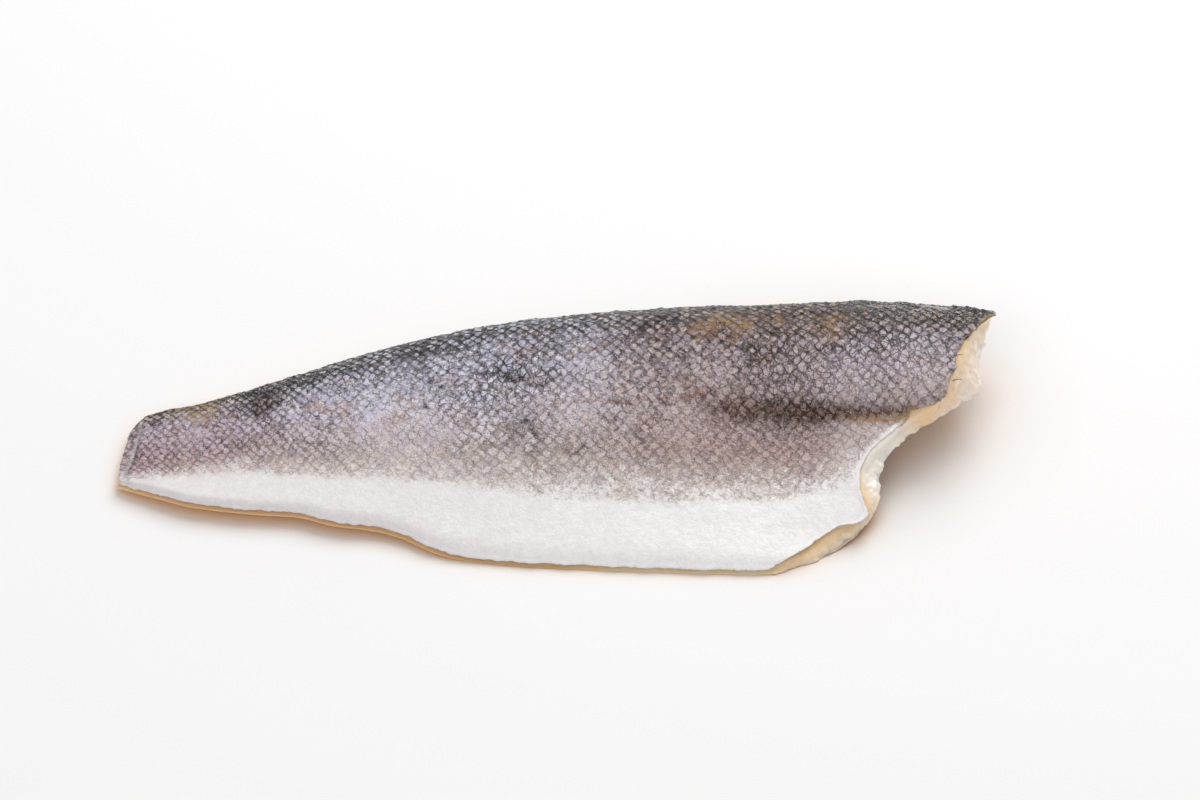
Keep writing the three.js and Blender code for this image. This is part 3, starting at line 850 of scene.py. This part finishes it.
packed_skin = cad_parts["skin"]
skin_surface = BVHTree.FromPolygons(
    [packed_skin.matrix_world @ vertex.co for vertex in packed_skin.data.vertices],
    [tuple(face.vertices) for face in packed_skin.data.polygons],
)


def skin_distance(places):
    """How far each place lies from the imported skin, in millimetres."""
    return np.array([skin_surface.find_nearest(place * MM)[3] for place in places]) / MM


points = read(mesh.vertices, "co") / MM
shown = skin_distance(points) > COVERED_DEPTH
fine_faces = faces_within(flesh, shown & (points[:, 0] > CUT_FINE_FROM))
fine_faces &= read(mesh.polygons, "normal")[:, 2] > -0.5
select_faces(flesh, fine_faces)
bpy.ops.mesh.subdivide(number_cuts=CUT_CUTS, smoothness=1.0)
bpy.ops.object.mode_set(mode="OBJECT")

points = read(mesh.vertices, "co") / MM
normals = read(mesh.vertices, "normal")
x, y = points[:, 0], points[:, 1]
upward = normals[:, 2]
from_skin = skin_distance(points)
store(flesh, "from_skin", from_skin)
# Painted warm shade: the tan is laid on by place and by which way a face looks.
warm_painted_shade = along(SHADE_TAN_ALONG, x) * along(SHADE_TAN_ACROSS, y - along(MIDDLE_LINE, x))
warm_painted_shade *= np.maximum(along(SHADE_TAN_FACING, upward), along(SHADE_TAN_ANY_FACING, x))
warm_painted_shade *= along(SHADE_TAN_UNDER, upward)
store(flesh, "warm_painted_shade", warm_painted_shade)
membrane = np.clip(sum(patch(x, y, *values) for values in MEMBRANE_PLACES), 0, 1)
cut = np.clip((from_skin - COVERED_DEPTH) / CUT_FADE, 0, 1) * along(CUT_FACING, upward)
lift = sum(height * uneven(points, size, size) for height, size in TORN_WAVES)
lift *= cut * along(TORN_ALONG, x)
swell = np.exp(-((from_skin - MEMBRANE_MIDDLE) / MEMBRANE_WIDTH) ** 2) * (upward > -0.5)
lift += MEMBRANE_SWELL * membrane * swell
for place_x, place_y, size, height in TABS:
    lift += height * cut * patch(x, y, place_x, place_y, size)

aside = (y - along(MIDDLE_LINE, x)) / along(HALF_BREADTH, x)
lean = np.abs((np.abs(aside) * 2 + 0.5) % 2 - 1) * GROOVE_SLANT
wander = GROOVE_WANDER * uneven(points, GROOVE_WANDER_SIZE, 3.0)
block = (x + lean + wander) / GROOVE_SPACING
groove = np.exp(-(np.abs((block + 0.5) % 1 - 0.5) * GROOVE_SPACING / GROOVE_WIDTH) ** 2)
middle = np.exp(-(aside * along(HALF_BREADTH, x) / MIDDLE_WIDTH) ** 2)
underneath = along(UNDER_FACING, upward) * np.clip(from_skin / 2 - 0.5, 0, 1)
lift -= underneath * GROOVE_DEPTH * np.maximum(groove, MIDDLE_DEPTH * middle)
golden = sum(strength * patch(x, y, *values) for *values, strength in GOLDEN_PLACES)
store(flesh, "golden", np.clip(golden, 0, 1))
store(flesh, "membrane", membrane)
store(flesh, "groove", underneath * np.maximum(groove, middle))
points += normals * lift[:, None]
points[:, 2] = np.maximum(points[:, 2], 0)
mesh.vertices.foreach_set("co", (points * MM).ravel())
bpy.context.view_layer.objects.active = flesh
flesh.select_set(True)
bpy.ops.object.shade_smooth_by_angle(angle=SHARP)

FLESH_COLOURS = [(0.0, "EBC690"), (0.08, "F0D4AC"), (0.35, "F2E0C8"), (0.8, "F6E8DC")]  # away from the skin
FLESH_COLOUR_DEPTH = 10.0
PAINTED_SHADE_TAN_COLOUR = "D6AC7C"
GOLDEN_COLOUR = "F2CDA0"
MEMBRANE_COLOUR = "F8EEE4"
BLOOD_COLOUR = "E0B9A4"
GROOVE_COLOUR = "D9BB9A"
FIBRE_SIZE = 4
BLOOD_SIZE = 11
GRAIN_SIZE = 0.8
GRAIN_BUMP = 0.3
SCATTER = 1.8  # how far light strays in the flesh

# Raw white fish: moist, smooth and a little see-through, so that it glows warm and has soft edges.
raw_fish = new_material("raw white fish")
tree = raw_fish.node_tree
place = add(tree, "ShaderNodeTexCoord").outputs["Object"]
value_of = {}
for name in ("from_skin", "warm_painted_shade", "golden", "membrane", "groove"):
    value_of[name] = add(tree, "ShaderNodeAttribute", attribute_name=name).outputs["Fac"]
fibres = add(tree, "ShaderNodeTexNoise", {
    "Vector": place, "Scale": 1 / (FIBRE_SIZE * MM), "Detail": 5.0, "Roughness": 0.65,
}).outputs["Fac"]
depth = rescale(tree, value_of["from_skin"], 0, FLESH_COLOUR_DEPTH)
depth = calculate(tree, "MULTIPLY_ADD", fibres, 0.5, depth)
depth = calculate(tree, "SUBTRACT", depth, 0.25)
body = add(tree, "ShaderNodeValToRGB", {"Fac": depth}, stops=FLESH_COLOURS).outputs[0]
golden = calculate(tree, "MULTIPLY", value_of["golden"], fibres)
golden = calculate(tree, "MULTIPLY", golden, 1.7, use_clamp=True)
blood = add(tree, "ShaderNodeTexNoise", {"Vector": place, "Scale": 1 / (BLOOD_SIZE * MM), "Detail": 3.0})
blood = rescale(tree, blood.outputs["Fac"], 0.55, 0.8, 0, 0.5)
# The tan is painted warm shade; the golden, membrane, blood and groove colours are the flesh's own.
for strength, colour in (
    (value_of["warm_painted_shade"], PAINTED_SHADE_TAN_COLOUR), (golden, GOLDEN_COLOUR), (value_of["membrane"], MEMBRANE_COLOUR),
    (blood, BLOOD_COLOUR), (value_of["groove"], GROOVE_COLOUR),
):
    body = mix(tree, strength, body, linear(colour))
grain = add(tree, "ShaderNodeTexNoise", {"Vector": place, "Scale": 1 / (GRAIN_SIZE * MM), "Detail": 4.0})
bump = add(tree, "ShaderNodeBump", {"Height": grain.outputs["Fac"], "Strength": 0.35,
                                    "Distance": GRAIN_BUMP * MM})
surface = add(tree, "ShaderNodeBsdfPrincipled", {
    "Base Color": body,
    "Roughness": 0.3,
    "IOR": 1.4,
    "Coat Weight": 0.3,
    "Coat Roughness": 0.1,
    "Subsurface Weight": 0.6,
    "Subsurface Radius": (1.0, 0.8, 0.6),
    "Subsurface Scale": SCATTER * MM,
    "Normal": bump.outputs[0],
})
add(tree, "ShaderNodeOutputMaterial", {"Surface": surface.outputs[0]})
mesh.materials.append(raw_fish)
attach(flesh, "root")
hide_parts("flesh")


# Pin bones. The ends of two of the fine, bent bones that run out from the spine through the loin.
# They stick out of the cut at the head end, close to the skin, where the knife went through them.
BONE_RADIUS = 0.16
BONE_TAPER = 0.7  # share of the radius that is lost towards the tip
BONE_COLOUR = "5A4632"
BONES = [
    [(105.8, 6.9, 27.1), (108.0, 7.6, 27.6), (109.4, 8.2, 27.2)],
    [(105.8, 1.6, 23.4), (107.8, 2.3, 23.5), (109.0, 2.8, 22.9)],
]

bones = []
for line in BONES:
    bpy.ops.object.select_all(action="DESELECT")
    bpy.ops.curve.primitive_nurbs_path_add(location=(0, 0, 0))
    curve = bpy.context.object
    curve.data.splines.clear()
    spline = curve.data.splines.new("BEZIER")
    spline.bezier_points.add(len(line) - 1)
    for number, (point, place) in enumerate(zip(spline.bezier_points, line)):
        point.co = Vector(place) * MM
        point.handle_left_type = point.handle_right_type = "AUTO"
        point.radius = 1.0 - BONE_TAPER * number / (len(line) - 1)
    curve.data.bevel_depth = BONE_RADIUS * MM
    curve.data.use_fill_caps = True
    bpy.ops.object.convert(target="MESH")
    bones.append(bpy.context.object)
bpy.ops.object.select_all(action="DESELECT")
for bone in bones:
    bone.select_set(True)
bpy.context.view_layer.objects.active = bones[0]
bpy.ops.object.join()
pin_bones = bpy.context.object
pin_bones.name = "pin_bones"
bpy.ops.object.shade_smooth()

# Browned bone: dry at the tip and stained by the flesh, dark and hardly shiny.
brown_bone = new_material("browned bone")
tree = brown_bone.node_tree
surface = add(tree, "ShaderNodeBsdfPrincipled",
              {"Base Color": linear(BONE_COLOUR), "Roughness": 0.4, "IOR": 1.45})
add(tree, "ShaderNodeOutputMaterial", {"Surface": surface.outputs[0]})
pin_bones.data.materials.clear()
pin_bones.data.materials.append(brown_bone)
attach(pin_bones, "root")
